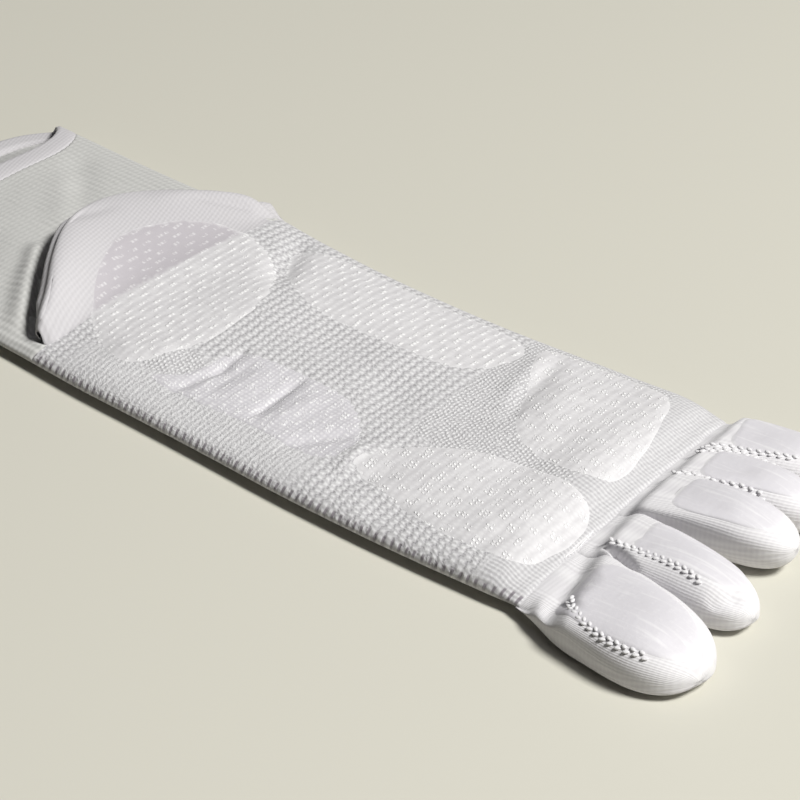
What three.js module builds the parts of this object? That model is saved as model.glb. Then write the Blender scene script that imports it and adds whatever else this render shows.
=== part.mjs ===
// A five-toe ankle sock lying flat with its sole up: a ribbed leg with a turned welt, a heel pocket
// folded back over the leg, a foot tube, five toe tubes, and ten thin grip films on the sole side.
// Millimetres. X runs from the cuff to the toes, Y from the big toe's side to the little toe's, Z up.
import * as THREE from "three";

// Driving dimensions
const WALL = 1.4; // one layer of knitted cloth
const WELT_WALL = 1.8; // the welt is turned double
const FILM = 0.6; // grip film
const SEAM_GAP = 0.3; // between neighbouring pieces
const FILM_GAP = 0.5; // under a film, which crosses faceted cloth
const FOLD_HEIGHT = 1.6; // level at which the flattened tube turns round at its two sides
const SHOULDER_SHARE = 0.6; // share of the rise that happens close to the side folds
const SHOULDER_POWER = 14; // how close to the fold that is
const UNDERSIDE_POWER = 24; // flatness of the layer that lies on the table
const INNER_SLIT = 0.5; // least space between the two layers

const HEEL_LINE = -56; // where the heel pocket's plain knit meets the sole's
const TOE_LINE = 93.4; // end of the foot on its middle line
const TOE_LINE_SLANT = 5.2; // the big toe's side reaches this much further, the little toe's less

const CUFF_EDGE_TOP = -130; // the sole-side layer of the cuff ends here
const CUFF_EDGE_BOTTOM = -150; // and the layer on the table here, as the folded heel draws the top one back
const CUFF_EDGE_POWER = 6; // straightness of both edges between the side folds
const WELT_LENGTH = 7;
const RIBS_PER_LAYER = 40;
const RIB_DEPTH = 0.35;

const POINTS_ACROSS = 22; // steps across one layer of the foot
const FOOT_STEPS = 28; // rings along the foot
const LEG_STEPS = 4;

// Sections of the flattened leg and foot: where the near and far side folds lie, and the height
// between them.
const TUBE_SECTIONS = [
  { x: -152, near: -44.6, far: 42.6, height: 8.6 },
  { x: -130, near: -45.2, far: 42.4, height: 8.6 },
  { x: -100, near: -45.4, far: 42.0, height: 8.3 },
  { x: -72, near: -45.8, far: 42.6, height: 8.2 },
  { x: -56, near: -46.4, far: 43.2, height: 8.4 },
  { x: -38, near: -47.2, far: 42.8, height: 8.4 },
  { x: -18, near: -47.4, far: 41.6, height: 8.1 },
  { x: 4, near: -47.8, far: 41.4, height: 7.8 },
  { x: 26, near: -48.4, far: 42.0, height: 7.8 },
  { x: 48, near: -48.2, far: 43.4, height: 8.2 },
  { x: 68, near: -47.4, far: 44.6, height: 8.6 },
  { x: 82, near: -46.6, far: 45.2, height: 9.0 },
  { x: 89, near: -46.0, far: 45.0, height: 8.3 },
  { x: 93.4, near: -45.6, far: 44.4, height: 7.6 },
];

// Creases and soft ridges of the sole, each along a line; a ridge has a negative depth.
const SOLE_FOLDS = [
  { x1: -17.5, y1: -34, x2: -18.5, y2: -16, width: 8, depth: 1.3 },
  { x1: 1.5, y1: -30, x2: 4.5, y2: -12, width: 8, depth: 1.1 },
  { x1: -9, y1: -28, x2: -6, y2: -12, width: 8, depth: -0.6 },
  { x1: -43, y1: 38, x2: -32, y2: 15, width: 10, depth: 0.9 },
  { x1: 34, y1: 34, x2: 50, y2: 4, width: 9, depth: 0.6 },
  { x1: 18, y1: -34, x2: 27, y2: -20, width: 8, depth: 0.6 },
];

// Slices of the heel pocket across the sock: its front edge, the fold at its back, the thickness of the
// fold's hollow, how far the fold stands off the leg, and the length turned under.
const HEEL_SLICES = [
  { y: -41, front: -57.0, back: -60.6, hollow: 0.1, lift: 0.3, lip: 1.9 },
  { y: -38, front: -56.5, back: -63.2, hollow: 0.3, lift: 0.5, lip: 3.0 },
  { y: -31, front: -56.5, back: -68.4, hollow: 0.6, lift: 1.0, lip: 6.0 },
  { y: -21, front: -56.5, back: -76.6, hollow: 0.8, lift: 1.5, lip: 9.0 },
  { y: -10, front: -56.5, back: -84.2, hollow: 1.0, lift: 1.7, lip: 13.0 },
  { y: 1, front: -56.5, back: -88.6, hollow: 1.1, lift: 1.7, lip: 16.0 },
  { y: 12, front: -56.5, back: -89.2, hollow: 1.1, lift: 1.6, lip: 16.5 },
  { y: 21, front: -56.5, back: -85.4, hollow: 1.0, lift: 1.3, lip: 13.0 },
  { y: 30, front: -56.5, back: -78.4, hollow: 0.8, lift: 1.0, lip: 9.0 },
  { y: 38, front: -56.5, back: -70.8, hollow: 0.6, lift: 1.0, lip: 5.0 },
  { y: 43, front: -57.0, back: -66.4, hollow: 0.4, lift: 0.9, lip: 3.4 },
  { y: 47.0, front: -61.0, back: -65.6, hollow: 0.1, lift: 0.3, lip: 2.2 },
];
const HEEL_SLICE_STEP = 4.4;
const HEEL_COVER = { near: -44, nearFull: -42.4, farFull: 38, far: 41 }; // stretch of leg that it covers
const HEEL_STEP = { from: 33, to: 38 }; // where its front edge steps up onto the leg at the far side
const EAR_DROOP = 3.4; // level of the pocket's far corner, which hangs past the side fold

// Toe tubes: middle and width of the root, the tip, the full width, and the height at the root and at
// the fullest place. A film covers a stretch of each toe's length and, seen along the toe, an arc.
const TOES = [
  {
    name: "toe_big", rootY: -35.0, rootWidth: 24.8, tip: [145.5, -41.6], width: 26.2,
    rootHeight: 7.2, height: 11.2, film: { from: 0.2, to: 0.94, middle: 92, halfArc: 42 },
  },
  {
    name: "toe_second", rootY: -13.9, rootWidth: 16.2, tip: [141.0, -16.2], width: 17.0,
    rootHeight: 7.4, height: 12.0, film: { from: 0.26, to: 0.92, middle: 72, halfArc: 40 },
  },
  {
    name: "toe_third", rootY: 2.6, rootWidth: 16.0, tip: [134.6, 8.4], width: 16.2,
    rootHeight: 7.4, height: 11.6, film: { from: 0.28, to: 0.9, middle: 86, halfArc: 48 },
  },
  {
    name: "toe_fourth", rootY: 18.3, rootWidth: 14.6, tip: [129.6, 25.4], width: 15.2,
    rootHeight: 7.3, height: 10.8, film: { from: 0.26, to: 0.9, middle: 88, halfArc: 42 },
  },
  {
    name: "toe_little", rootY: 34.4, rootWidth: 16.4, tip: [122.4, 43.0], width: 17.0,
    rootHeight: 7.2, height: 9.4, film: { from: 0.22, to: 0.9, middle: 72, halfArc: 44 },
  },
];
const TOE_STEPS = 8;
const TOE_POINTS = 20;
const TOE_ROUNDING = 0.42; // share of the toe's length that the tip rounds off
const TOE_SWELL = 0.42; // share of its length in which it reaches its full height
const TOE_BELT = 0.36; // share of its height at which it is widest
const TOE_TIP_SAG = 0.2;
const TOE_SQUARENESS = 2.3; // 2 is an ellipse

// Grip films on the sole: a smooth closed outline through these points.
const SOLE_FILMS = [
  {
    name: "heel_film",
    outline: [
      [-55, -27], [-70, -8], [-73.5, 9], [-63, 27],
      [-45, 26], [-29, 10], [-25, -16], [-34, -36],
    ],
  },
  {
    name: "arch_film_outer",
    outline: [
      [-40, 31], [-32, 20], [-16, 12.5], [6, 12.5], [28, 15],
      [35.5, 24], [32, 36], [0, 36.5], [-30, 36.5],
    ],
  },
  {
    name: "arch_film_inner",
    outline: [
      [-25, -36.2], [-19.5, -29.5], [-18, -22], [-14.5, -14.5], [0, -12], [17, -12.8],
      [27, -18], [33, -27], [29.5, -35.4], [8, -35.6], [-10, -36.8],
    ],
  },
  {
    name: "ball_film_outer",
    outline: [
      [38, 37], [48, 18], [58, 2], [73, -3.5], [87, -1],
      [87.5, 10], [83, 24], [75, 38.5], [56, 39.5],
    ],
  },
  {
    name: "ball_film_inner",
    outline: [
      [37, -31], [44, -18.5], [60, -9.5], [80, -7.5], [92, -12],
      [95, -25], [91, -37.5], [70, -39.5], [50, -36],
    ],
  },
];
const FILM_POINTS = 26; // round the outline of a sole film
const FILM_RINGS = 4; // from its middle to its outline
const TOE_FILM_POINTS = 18; // round the outline of a toe's film
const TOE_FILM_RINGS = 3;

const COLOURS = {
  plain: 0xe9e7ea,
  rib: 0xdad9d6,
  mesh: 0xe4e3e1,
  film: 0xc9c6ca,
};

const { clamp, degToRad, lerp, smoothstep } = THREE.MathUtils;

// A column of a table at a place between its rows, on a smooth curve through them.
function along(table, key, place, column) {
  const last = table.length - 1;
  if (place <= table[0][key]) return table[0][column];
  if (place >= table[last][key]) return table[last][column];
  const i = table.findIndex((row) => row[key] > place) - 1;
  const [a, b] = [table[i], table[i + 1]];
  const [before, after] = [table[Math.max(i - 1, 0)], table[Math.min(i + 2, last)]];
  const span = b[key] - a[key];
  const slopeA = ((b[column] - before[column]) / (b[key] - before[key])) * span;
  const slopeB = ((after[column] - a[column]) / (after[key] - a[key])) * span;
  const t = (place - a[key]) / span;
  const rise = b[column] - a[column];
  const bend = t * t * (3 * rise - 2 * slopeA - slopeB);
  return a[column] + t * slopeA + bend + t ** 3 * (slopeA + slopeB - 2 * rise);
}

// The flattened tube's section at a place u along the sock's middle line.
function tubeAt(u) {
  const near = along(TUBE_SECTIONS, "x", u, "near");
  const far = along(TUBE_SECTIONS, "x", u, "far");
  const height = along(TUBE_SECTIONS, "x", u, "height");
  return { middle: (near + far) / 2, half: (far - near) / 2, height };
}

// How far a section leans: its near side is this much further along than its middle.
function leanAt(u) {
  return TOE_LINE_SLANT * smoothstep(u, HEEL_LINE, TOE_LINE);
}

// Height of the upper layer at v, from -1 at the near side fold to 1 at the far one.
function crown(v, height) {
  const shoulder = Math.sqrt(1 - Math.abs(v) ** SHOULDER_POWER);
  const share = SHOULDER_SHARE * shoulder + (1 - SHOULDER_SHARE) * (1 - v * v);
  return FOLD_HEIGHT + (height - FOLD_HEIGHT) * share;
}

// Height of the lower layer, flat on the table and turned up at the side folds.
function underside(v) {
  return FOLD_HEIGHT * (1 - Math.sqrt(1 - Math.abs(v) ** UNDERSIDE_POWER));
}

// How far the sole's creases lower it at a point.
function creases(x, y) {
  let drop = 0;
  for (const fold of SOLE_FOLDS) {
    const line = new THREE.Vector2(fold.x2 - fold.x1, fold.y2 - fold.y1);
    const from = new THREE.Vector2(x - fold.x1, y - fold.y1);
    const share = from.dot(line) / line.lengthSq();
    const off = from.cross(line) / line.length();
    const fade = smoothstep(share, -0.25, 0.2) * (1 - smoothstep(share, 0.8, 1.25));
    drop += fold.depth * fade * Math.exp(-((off / (fold.width / 2)) ** 2));
  }
  return drop;
}

// A point of the upper layer from its place u along the sock and v across it.
function topPoint(u, v) {
  const tube = tubeAt(u);
  const x = u - leanAt(u) * v;
  const y = tube.middle + v * tube.half;
  return new THREE.Vector3(x, y, crown(v, tube.height) - creases(x, y) * (1 - v ** 8));
}

// Height of the upper layer over a point of the table.
function clothTop(x, y) {
  let u = x;
  let v = 0;
  for (let i = 0; i < 4; i++) {
    v = clamp((y - tubeAt(u).middle) / tubeAt(u).half, -1, 1);
    u = x + leanAt(u) * v;
  }
  return topPoint(u, v).z;
}

// A ring round the flattened tube. uAt(v, layer) places its points along the sock, layer being "top" or
// "bottom"; inset moves the ring inwards by that much cloth. A ribbed ring has a point on every rib and
// in every furrow, which rib sinks; any other has its points closer together near the side folds.
function tubeRing(uAt, { ribbed = false, rib = 0, inset = 0 } = {}) {
  const across = ribbed ? 2 * RIBS_PER_LAYER : POINTS_ACROSS;
  const point = (j, layer) => {
    const even = -1 + (2 * j) / across;
    const v = ribbed ? even : Math.sin((Math.PI / 2) * even);
    const u = uAt(v, layer);
    const p = topPoint(u, v * (1 - inset / tubeAt(u).half));
    const groove = j % 2 ? rib : 0;
    if (!inset) return p.setZ(layer === "top" ? p.z - groove : underside(v) + groove);
    if (Math.abs(even) === 1) return p.setZ(inset + INNER_SLIT / 2);
    return p.setZ(layer === "top" ? Math.max(p.z - inset, inset + INNER_SLIT) : inset);
  };
  const ring = [];
  for (let j = 0; j <= across; j++) ring.push(point(j, "top"));
  for (let j = across - 1; j > 0; j--) ring.push(point(j, "bottom"));
  return ring;
}

// A closed surface over rings of equally many points. A looped one joins its last ring to its first, as
// the wall of an open tube does; any other is closed at each end by a flat cap in XZ, by a fan round the
// middle of its ring, or by a single point (a ring of one).
function surface(rings, { looped = false, flatCaps = false } = {}) {
  const vertices = [];
  const starts = rings.map((ring) => vertices.push(...ring) - ring.length);
  const triangles = [];
  const add = (a, b, c, turned) => triangles.push(turned ? [a, c, b] : [a, b, c]);
  const fan = (ring, centre, turned) => {
    const n = rings[ring].length;
    for (let j = 0; j < n; j++) add(centre, starts[ring] + ((j + 1) % n), starts[ring] + j, turned);
  };
  const last = rings.length - 1;
  for (let i = 0; i < (looped ? rings.length : last); i++) {
    const next = (i + 1) % rings.length;
    if (rings[i].length === 1) fan(next, starts[i], false);
    else if (rings[next].length === 1) fan(i, starts[next], true);
    else
      for (let j = 0; j < rings[i].length; j++) {
        const k = (j + 1) % rings[i].length;
        add(starts[i] + j, starts[next] + k, starts[next] + j);
        add(starts[i] + j, starts[i] + k, starts[next] + k);
      }
  }
  for (const ring of looped ? [] : [0, last]) {
    if (rings[ring].length === 1) continue;
    if (flatCaps) {
      const contour = rings[ring].map((p) => new THREE.Vector2(p.x, p.z));
      const clockwise = THREE.ShapeUtils.isClockWise(contour);
      for (const corners of THREE.ShapeUtils.triangulateShape(contour, [])) {
        const follows = THREE.ShapeUtils.isClockWise(corners.map((i) => contour[i])) === clockwise;
        add(...corners.map((i) => starts[ring] + i), follows === (ring === 0));
      }
    } else {
      const middle = rings[ring].reduce((sum, p) => sum.add(p), new THREE.Vector3());
      fan(ring, vertices.push(middle.divideScalar(rings[ring].length)) - 1, ring === last);
    }
  }
  return facingOut(vertices, triangles);
}

// The same triangles, turned round if they enclose a negative volume.
function facingOut(vertices, triangles) {
  let volume = 0;
  for (const [a, b, c] of triangles) {
    volume += vertices[a].dot(new THREE.Vector3().crossVectors(vertices[b], vertices[c]));
  }
  const index = triangles.flatMap(([a, b, c]) => (volume < 0 ? [a, c, b] : [a, b, c]));
  const geometry = new THREE.BufferGeometry().setFromPoints(vertices);
  geometry.setIndex(index);
  return geometry;
}

// Where the edge of the cuff lies: the top layer is drawn back from the bottom one.
function cuffEdge(v, layer) {
  const middle = (CUFF_EDGE_TOP + CUFF_EDGE_BOTTOM) / 2;
  const reach = (CUFF_EDGE_TOP - CUFF_EDGE_BOTTOM) / 2;
  const share = 1 - v ** CUFF_EDGE_POWER;
  return middle + (layer === "top" ? reach : -reach) * share;
}

// Whether the heel pocket covers the leg at y: 1 where it does, 0 beyond its corners.
function coverShare(y) {
  const nearShare = smoothstep(y, HEEL_COVER.near, HEEL_COVER.nearFull);
  return nearShare * (1 - smoothstep(y, HEEL_COVER.farFull, HEEL_COVER.far));
}

// Where the leg ends: at the heel line, except that its top layer stops at the pocket's tucked edge.
function legEnd(v, layer) {
  const tube = tubeAt(HEEL_LINE);
  const y = tube.middle + v * tube.half;
  const tucked = along(HEEL_SLICES, "y", y, "back") + along(HEEL_SLICES, "y", y, "lip");
  const end = HEEL_LINE - SEAM_GAP;
  return layer === "top" ? lerp(end, Math.min(tucked, end), coverShare(y)) : end;
}

// The wall of an open tube with the given rings: outer ones first, then inner ones back to the start.
function wall(steps, thickness, placeAt, { ribbed = false, rib = 0 } = {}) {
  const outer = [];
  const inner = [];
  for (let i = 0; i <= steps; i++) {
    const uAt = (v, layer) => placeAt(i / steps, v, layer);
    outer.push(tubeRing(uAt, { ribbed, rib }));
    inner.unshift(tubeRing(uAt, { ribbed, inset: thickness }));
  }
  return surface([...outer, ...inner], { looped: true });
}

function makeWelt() {
  const place = (share, v, layer) => cuffEdge(v, layer) + share * WELT_LENGTH;
  return wall(1, WELT_WALL, place, { ribbed: true });
}

function makeLeg() {
  const start = (v, layer) => cuffEdge(v, layer) + WELT_LENGTH + 2 * SEAM_GAP;
  const placeAt = (share, v, layer) => lerp(start(v, layer), legEnd(v, layer), share);
  return wall(LEG_STEPS, WALL, placeAt, { ribbed: true, rib: RIB_DEPTH });
}

function makeFoot() {
  return wall(FOOT_STEPS, WALL, (share) => lerp(HEEL_LINE, TOE_LINE, share));
}

// One slice of the heel pocket: the levels of its two layers and of the cloth that it lies on.
function heelSlice(y) {
  const row = { y };
  for (const column of ["front", "back", "hollow", "lift", "lip"]) {
    row[column] = along(HEEL_SLICES, "y", y, column);
  }
  row.radius = WALL + row.hollow / 2;
  row.rest = (x) => Math.max(clothTop(x, y), EAR_DROOP);
  row.foldBottom = row.rest(row.back) + row.lift;
  row.foldTop = row.foldBottom + 2 * row.radius;
  row.frontTop = Math.max(clothTop(HEEL_LINE, y), EAR_DROOP);
  row.frontTop += (WALL + 3 * SEAM_GAP) * smoothstep(y, HEEL_STEP.from, HEEL_STEP.to);
  return row;
}

// Height of the pocket's upper layer along a slice.
function heelTop(row, x) {
  return lerp(row.frontTop, row.foldTop, smoothstep(row.front - x, 0, row.front - row.back - row.radius));
}

// The middle line of the cloth along a slice: over the top, round the fold and under it.
function heelPath(row) {
  const path = [];
  const foldX = row.back + row.radius;
  for (let i = 0; i <= 5; i++) {
    const x = lerp(row.front, foldX, i / 5);
    path.push(new THREE.Vector2(x, heelTop(row, x) - WALL / 2));
  }
  const bend = row.radius - WALL / 2;
  for (const angle of [120, 150, 180, 210, 240, 270]) {
    const turn = degToRad(angle);
    const foldZ = row.foldBottom + row.radius;
    path.push(new THREE.Vector2(foldX + bend * Math.cos(turn), foldZ + bend * Math.sin(turn)));
  }
  const end = row.back + row.lip;
  const endBottom = row.rest(end) + Math.min(2 * SEAM_GAP, row.lift);
  path.push(new THREE.Vector2(lerp(foldX, end, 0.5), lerp(row.foldBottom, endBottom, 0.5) + WALL / 2));
  path.push(new THREE.Vector2(end, endBottom + WALL / 2));
  return path;
}

function makeHeel() {
  const first = HEEL_SLICES[0].y;
  const last = HEEL_SLICES[HEEL_SLICES.length - 1].y;
  const steps = Math.round((last - first) / HEEL_SLICE_STEP);
  const rings = [];
  for (let i = 0; i <= steps; i++) {
    const y = lerp(first, last, i / steps);
    const path = heelPath(heelSlice(y));
    const sides = [[], []];
    path.forEach((p, k) => {
      const ahead = path[Math.min(k + 1, path.length - 1)];
      const behind = path[Math.max(k - 1, 0)];
      const normal = ahead.clone().sub(behind).normalize().multiplyScalar(WALL / 2);
      sides[0].push(new THREE.Vector3(p.x + normal.y, y, p.y - normal.x));
      sides[1].unshift(new THREE.Vector3(p.x - normal.y, y, p.y + normal.x));
    });
    rings.push([...sides[0], ...sides[1]]);
  }
  return surface(rings, { flatCaps: true });
}

// A point of a toe's skin: s runs from 0 at the root to 1 at the tip, angle is 0 on the little toe's side
// and 90 on top, and out moves the point outwards.
function toePoint(toe, s, angle, out = 0) {
  const foot = tubeAt(TOE_LINE);
  const slope = TOE_LINE_SLANT / foot.half;
  const root = new THREE.Vector2(TOE_LINE + SEAM_GAP - slope * (toe.rootY - foot.middle), toe.rootY);
  const length = root.distanceTo(new THREE.Vector2(...toe.tip));
  const forward = new THREE.Vector2(...toe.tip).sub(root).normalize();
  const swell = smoothstep(s, 0, TOE_SWELL);
  const sideways = new THREE.Vector2(-slope, 1).lerp(new THREE.Vector2(-forward.y, forward.x), swell);
  const beyond = clamp((s - 1 + TOE_ROUNDING) / TOE_ROUNDING, 0, 1);
  const closing = Math.sqrt(1 - beyond * beyond);
  const height = lerp(toe.rootHeight, toe.height, swell);
  const turn = degToRad(angle);
  const power = 2 / TOE_SQUARENESS;
  const bend = (c, p) => Math.sign(c) * Math.abs(c) ** p;
  const side = (lerp(toe.rootWidth, toe.width, swell) / 2) * closing + out;
  const across = side * bend(Math.cos(turn), power);
  const below = Math.sin(turn) < 0;
  const rise = height * (below ? TOE_BELT : 1 - TOE_BELT) * closing + out;
  const up = rise * bend(Math.sin(turn), below ? power / 2 : power);
  const sag = TOE_TIP_SAG * height * TOE_BELT * beyond ** 2;
  const ahead = s * length + Math.max(out, 0) * beyond;
  const flat = root.addScaledVector(forward, ahead).addScaledVector(sideways, across);
  return new THREE.Vector3(flat.x, flat.y, height * TOE_BELT - sag + up);
}

function makeToe(toe) {
  const ring = (s, out) => {
    const points = [];
    for (let j = 0; j < TOE_POINTS; j++) points.push(toePoint(toe, s, (360 * j) / TOE_POINTS, out));
    return points;
  };
  const outer = [];
  const inner = [];
  const innerTip = 1 - WALL / (toe.tip[0] - TOE_LINE);
  for (let i = 0; i < TOE_STEPS; i++) {
    const s = Math.sin((Math.PI / 2) * (i / TOE_STEPS));
    outer.unshift(ring(s, 0));
    inner.push(ring(s * innerTip, -WALL));
  }
  const pole = (s, out) => [toePoint(toe, s, 0, out).lerp(toePoint(toe, s, 180, out), 0.5)];
  return surface([pole(1, 0), ...outer, ...inner, pole(innerTip, -WALL)]);
}

// A thin plate between two copies of a patch of surface, one just off the cloth and one the film's
// thickness further out. at(share, turn, off) gives the patch's points from its middle to its outline.
function plate(at, points, rings, gap) {
  const ring = (share, off) => {
    const loop = [];
    for (let j = 0; j < points; j++) loop.push(at(share, j / points, off));
    return loop;
  };
  const layers = [[at(0, 0, gap)]];
  for (let i = 1; i <= rings; i++) layers.push(ring(i / rings, gap));
  for (let i = rings; i >= 1; i--) layers.push(ring(i / rings, gap + FILM));
  layers.push([at(0, 0, gap + FILM)]);
  return surface(layers);
}

function makeSoleFilm(film) {
  const corners = film.outline.map(([x, y]) => new THREE.Vector3(x, y, 0));
  const outline = new THREE.CatmullRomCurve3(corners, true, "catmullrom", 0.5);
  const centre = corners.reduce((sum, p) => sum.add(p), new THREE.Vector3()).divideScalar(corners.length);
  const at = (share, turn, off) => {
    const p = centre.clone().lerp(outline.getPointAt(turn), share);
    return p.setZ((p.x > HEEL_LINE ? clothTop(p.x, p.y) : heelTop(heelSlice(p.y), p.x)) + off);
  };
  return plate(at, FILM_POINTS, FILM_RINGS, FILM_GAP);
}

function makeToeFilm(toe) {
  const { from, to, middle, halfArc } = toe.film;
  const [points, rings] = [TOE_FILM_POINTS, TOE_FILM_RINGS];
  const at = (share, turn, off) => {
    const angle = 2 * Math.PI * turn;
    const s = lerp(from, to, 0.5 + 0.5 * share * Math.cos(angle));
    return toePoint(toe, s, middle + halfArc * share * Math.sin(angle), off);
  };
  return plate(at, points, rings, FILM_GAP);
}

function piece(name, geometry, colour, roughness) {
  const material = new THREE.MeshStandardMaterial({ color: colour, roughness, metalness: 0 });
  const mesh = new THREE.Mesh(geometry, material);
  mesh.name = name;
  return mesh;
}

const sock = new THREE.Group();
sock.add(piece("welt", makeWelt(), COLOURS.plain, 0.9));
sock.add(piece("leg", makeLeg(), COLOURS.rib, 0.92));
sock.add(piece("heel", makeHeel(), COLOURS.plain, 0.9));
sock.add(piece("foot", makeFoot(), COLOURS.mesh, 0.92));
for (const toe of TOES) sock.add(piece(toe.name, makeToe(toe), COLOURS.plain, 0.9));
for (const film of SOLE_FILMS) sock.add(piece(film.name, makeSoleFilm(film), COLOURS.film, 0.45));
for (const toe of TOES) sock.add(piece(`${toe.name}_film`, makeToeFilm(toe), COLOURS.film, 0.45));

// The part's origin is the middle of its box, on the table.
const box = new THREE.Box3().setFromObject(sock);
sock.position.set(-(box.min.x + box.max.x) / 2, -(box.min.y + box.max.y) / 2, -box.min.z);

const part = new THREE.Group();
part.add(sock);
export default part;
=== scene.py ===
# %% [markdown]
# # A toe sock, lying flat with its sole up
# The real object is knitted as one tube: a ribbed leg, a heel pocket, a foot and five small toe tubes. It
# could be modelled as a cushion or draped by a simulation, but a pressed sock keeps the shape that its
# maker's board gave it. So each part is a thin shell in mesh code, on the same rings and sections as the
# solids, with the creases placed one by one.

import math

import bpy
import numpy as np
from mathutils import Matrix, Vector


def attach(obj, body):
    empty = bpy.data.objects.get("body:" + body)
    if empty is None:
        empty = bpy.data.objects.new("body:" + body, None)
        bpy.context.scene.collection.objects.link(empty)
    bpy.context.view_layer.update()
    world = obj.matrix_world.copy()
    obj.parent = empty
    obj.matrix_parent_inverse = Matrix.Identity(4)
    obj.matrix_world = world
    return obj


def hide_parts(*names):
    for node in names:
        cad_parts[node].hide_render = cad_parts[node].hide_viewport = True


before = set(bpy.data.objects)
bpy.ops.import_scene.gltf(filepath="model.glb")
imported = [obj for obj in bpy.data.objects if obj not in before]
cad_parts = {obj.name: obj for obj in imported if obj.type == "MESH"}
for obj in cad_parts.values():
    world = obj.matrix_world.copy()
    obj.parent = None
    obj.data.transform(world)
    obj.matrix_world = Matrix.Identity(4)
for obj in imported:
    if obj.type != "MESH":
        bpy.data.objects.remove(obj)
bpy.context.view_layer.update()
bpy.ops.object.select_all(action="DESELECT")
MM = 0.001
SHIFT = np.array([2.25, 1.859, 0.0])  # from the tables' origin to the middle of the object's box

# %% [markdown]
# ## The flattened tube
# Leg and foot are one tube, pressed flat. A short table gives, for a place along the sock, where its two side
# folds lie and how high the upper layer stands. A smooth curve through the rows gives every ring between.

# %% Sections
SECTIONS = np.array(
    [  # x, near side fold, far side fold, height
        (-152, -44.6, 42.6, 8.6),
        (-130, -45.2, 42.4, 8.6),
        (-100, -45.4, 42.0, 8.3),
        (-72, -45.8, 42.6, 8.2),
        (-56, -46.4, 44.6, 8.4),
        (-48, -46.8, 43.8, 8.4),
        (-38, -47.2, 42.8, 8.4),
        (-18, -47.4, 41.6, 8.1),
        (4, -47.8, 41.4, 7.8),
        (26, -48.4, 42.0, 7.8),
        (48, -48.2, 43.4, 8.2),
        (68, -47.4, 44.6, 8.8),
        (80, -46.6, 45.2, 9.7),
        (86, -46.2, 45.1, 8.8),
        (90, -45.8, 44.8, 6.8),
        (93.4, -45.6, 44.4, 5.7),
    ]
)
HEEL_LINE = -56.0
TOE_LINE = 93.4
TOE_LINE_SLANT = 5.2
FOLD_HEIGHT = 2.8
NEAR_LIFT = 2.2  # the near side fold stands this far off the table
FAR_LIFT = 0.6
WALL = 1.4


def smooth_step(x, low, high):
    t = np.clip((np.asarray(x, float) - low) / (high - low), 0, 1)
    return t * t * (3 - 2 * t)


def curve_through(rows, column, place, key=0):
    """A column of a table at any place between its rows, on a smooth curve."""
    rows = np.asarray(rows, float)
    x, y = rows[:, key], rows[:, column]
    place = np.clip(np.asarray(place, float), x[0], x[-1])
    i = np.clip(np.searchsorted(x, place, side="right") - 1, 0, len(x) - 2)
    before, after = np.maximum(i - 1, 0), np.minimum(i + 2, len(x) - 1)
    span = x[i + 1] - x[i]
    slope_a = (y[i + 1] - y[before]) / (x[i + 1] - x[before]) * span
    slope_b = (y[after] - y[i]) / (x[after] - x[i]) * span
    t, rise = (place - x[i]) / span, y[i + 1] - y[i]
    square, cube = 3 * rise - 2 * slope_a - slope_b, slope_a + slope_b - 2 * rise
    return y[i] + t * slope_a + square * t**2 + cube * t**3


def tube_at(u):
    near, far = curve_through(SECTIONS, 1, u), curve_through(SECTIONS, 2, u)
    return (near + far) / 2, (far - near) / 2, curve_through(SECTIONS, 3, u)


def lean_at(u):
    return TOE_LINE_SLANT * smooth_step(u, HEEL_LINE, TOE_LINE)


def crown(v, height):
    shoulder = np.sqrt(np.maximum(1 - np.abs(v) ** 14, 0))
    return FOLD_HEIGHT + (height - FOLD_HEIGHT) * (0.6 * shoulder + 0.4 * (1 - v * v))


def underside(v):
    lift = np.where(v < 0, NEAR_LIFT, FAR_LIFT) * smooth_step(np.abs(v), 0.62, 1.02) ** 1.5
    turn = 1 - np.sqrt(np.maximum(1 - np.abs(v) ** 24, 0))
    return lift + (FOLD_HEIGHT - lift) * turn


print("sections:", len(SECTIONS))

# %% [markdown]
# ## Creases
# A pressed knit is never quite flat. Each crease is a line with a width and a depth, and a row with a negative
# depth is a soft ridge. They are uneven on purpose: in length, in depth and in the space between them.

# %% Creases of the sole
SOLE_CREASES = np.array(
    [  # x1, y1, x2, y2, width, depth
        (-16.6, -36, -14.0, -22, 3.2, 1.05),
        (-14.2, -24, -15.0, -14, 3.4, 1.0),
        (-19.6, -34, -17.4, -20, 7.0, 0.5),
        (5.6, -31, 4.2, -14, 3.2, 1.0),
        (2.0, -30, 1.0, -14, 7.0, 0.45),
        (-10.5, -31, -9.5, -18, 5.0, 0.7),
        (11.0, -31, 12.5, -18, 5.0, -0.5),
        (35.0, -26, 36.5, -36, 4.0, -0.7),
        (-40, -33, -27, -26, 9.0, -0.9),
        (-43, 38, -33, 17, 8.0, 1.5),
        (-36, 33, 8, 33.5, 2.6, 0.5),
        (8, 33.5, 30, 35, 2.2, 0.3),
        (44, 36, 52, 8, 5.0, 0.7),
        (40, 32, 46, 12, 5.0, -0.5),
        (55, 26, 60, 10, 7.0, -0.35),
        (20, -36, 30, -22, 4.0, 0.9),
        (31, -36, 38, -22, 5.0, -0.5),
        (39, -41, 47, -30, 5.0, 0.7),
        (52, -43, 60, -38, 6.0, 0.5),
        (14, 0, 33, -8, 12.0, 0.35),
        (-12, 6, 12, 2, 14.0, 0.3),
        (67, -14, 72, 8, 9.0, 0.3),
        (80, -40, 84, -30, 5.0, 0.6),
    ]
)


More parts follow.
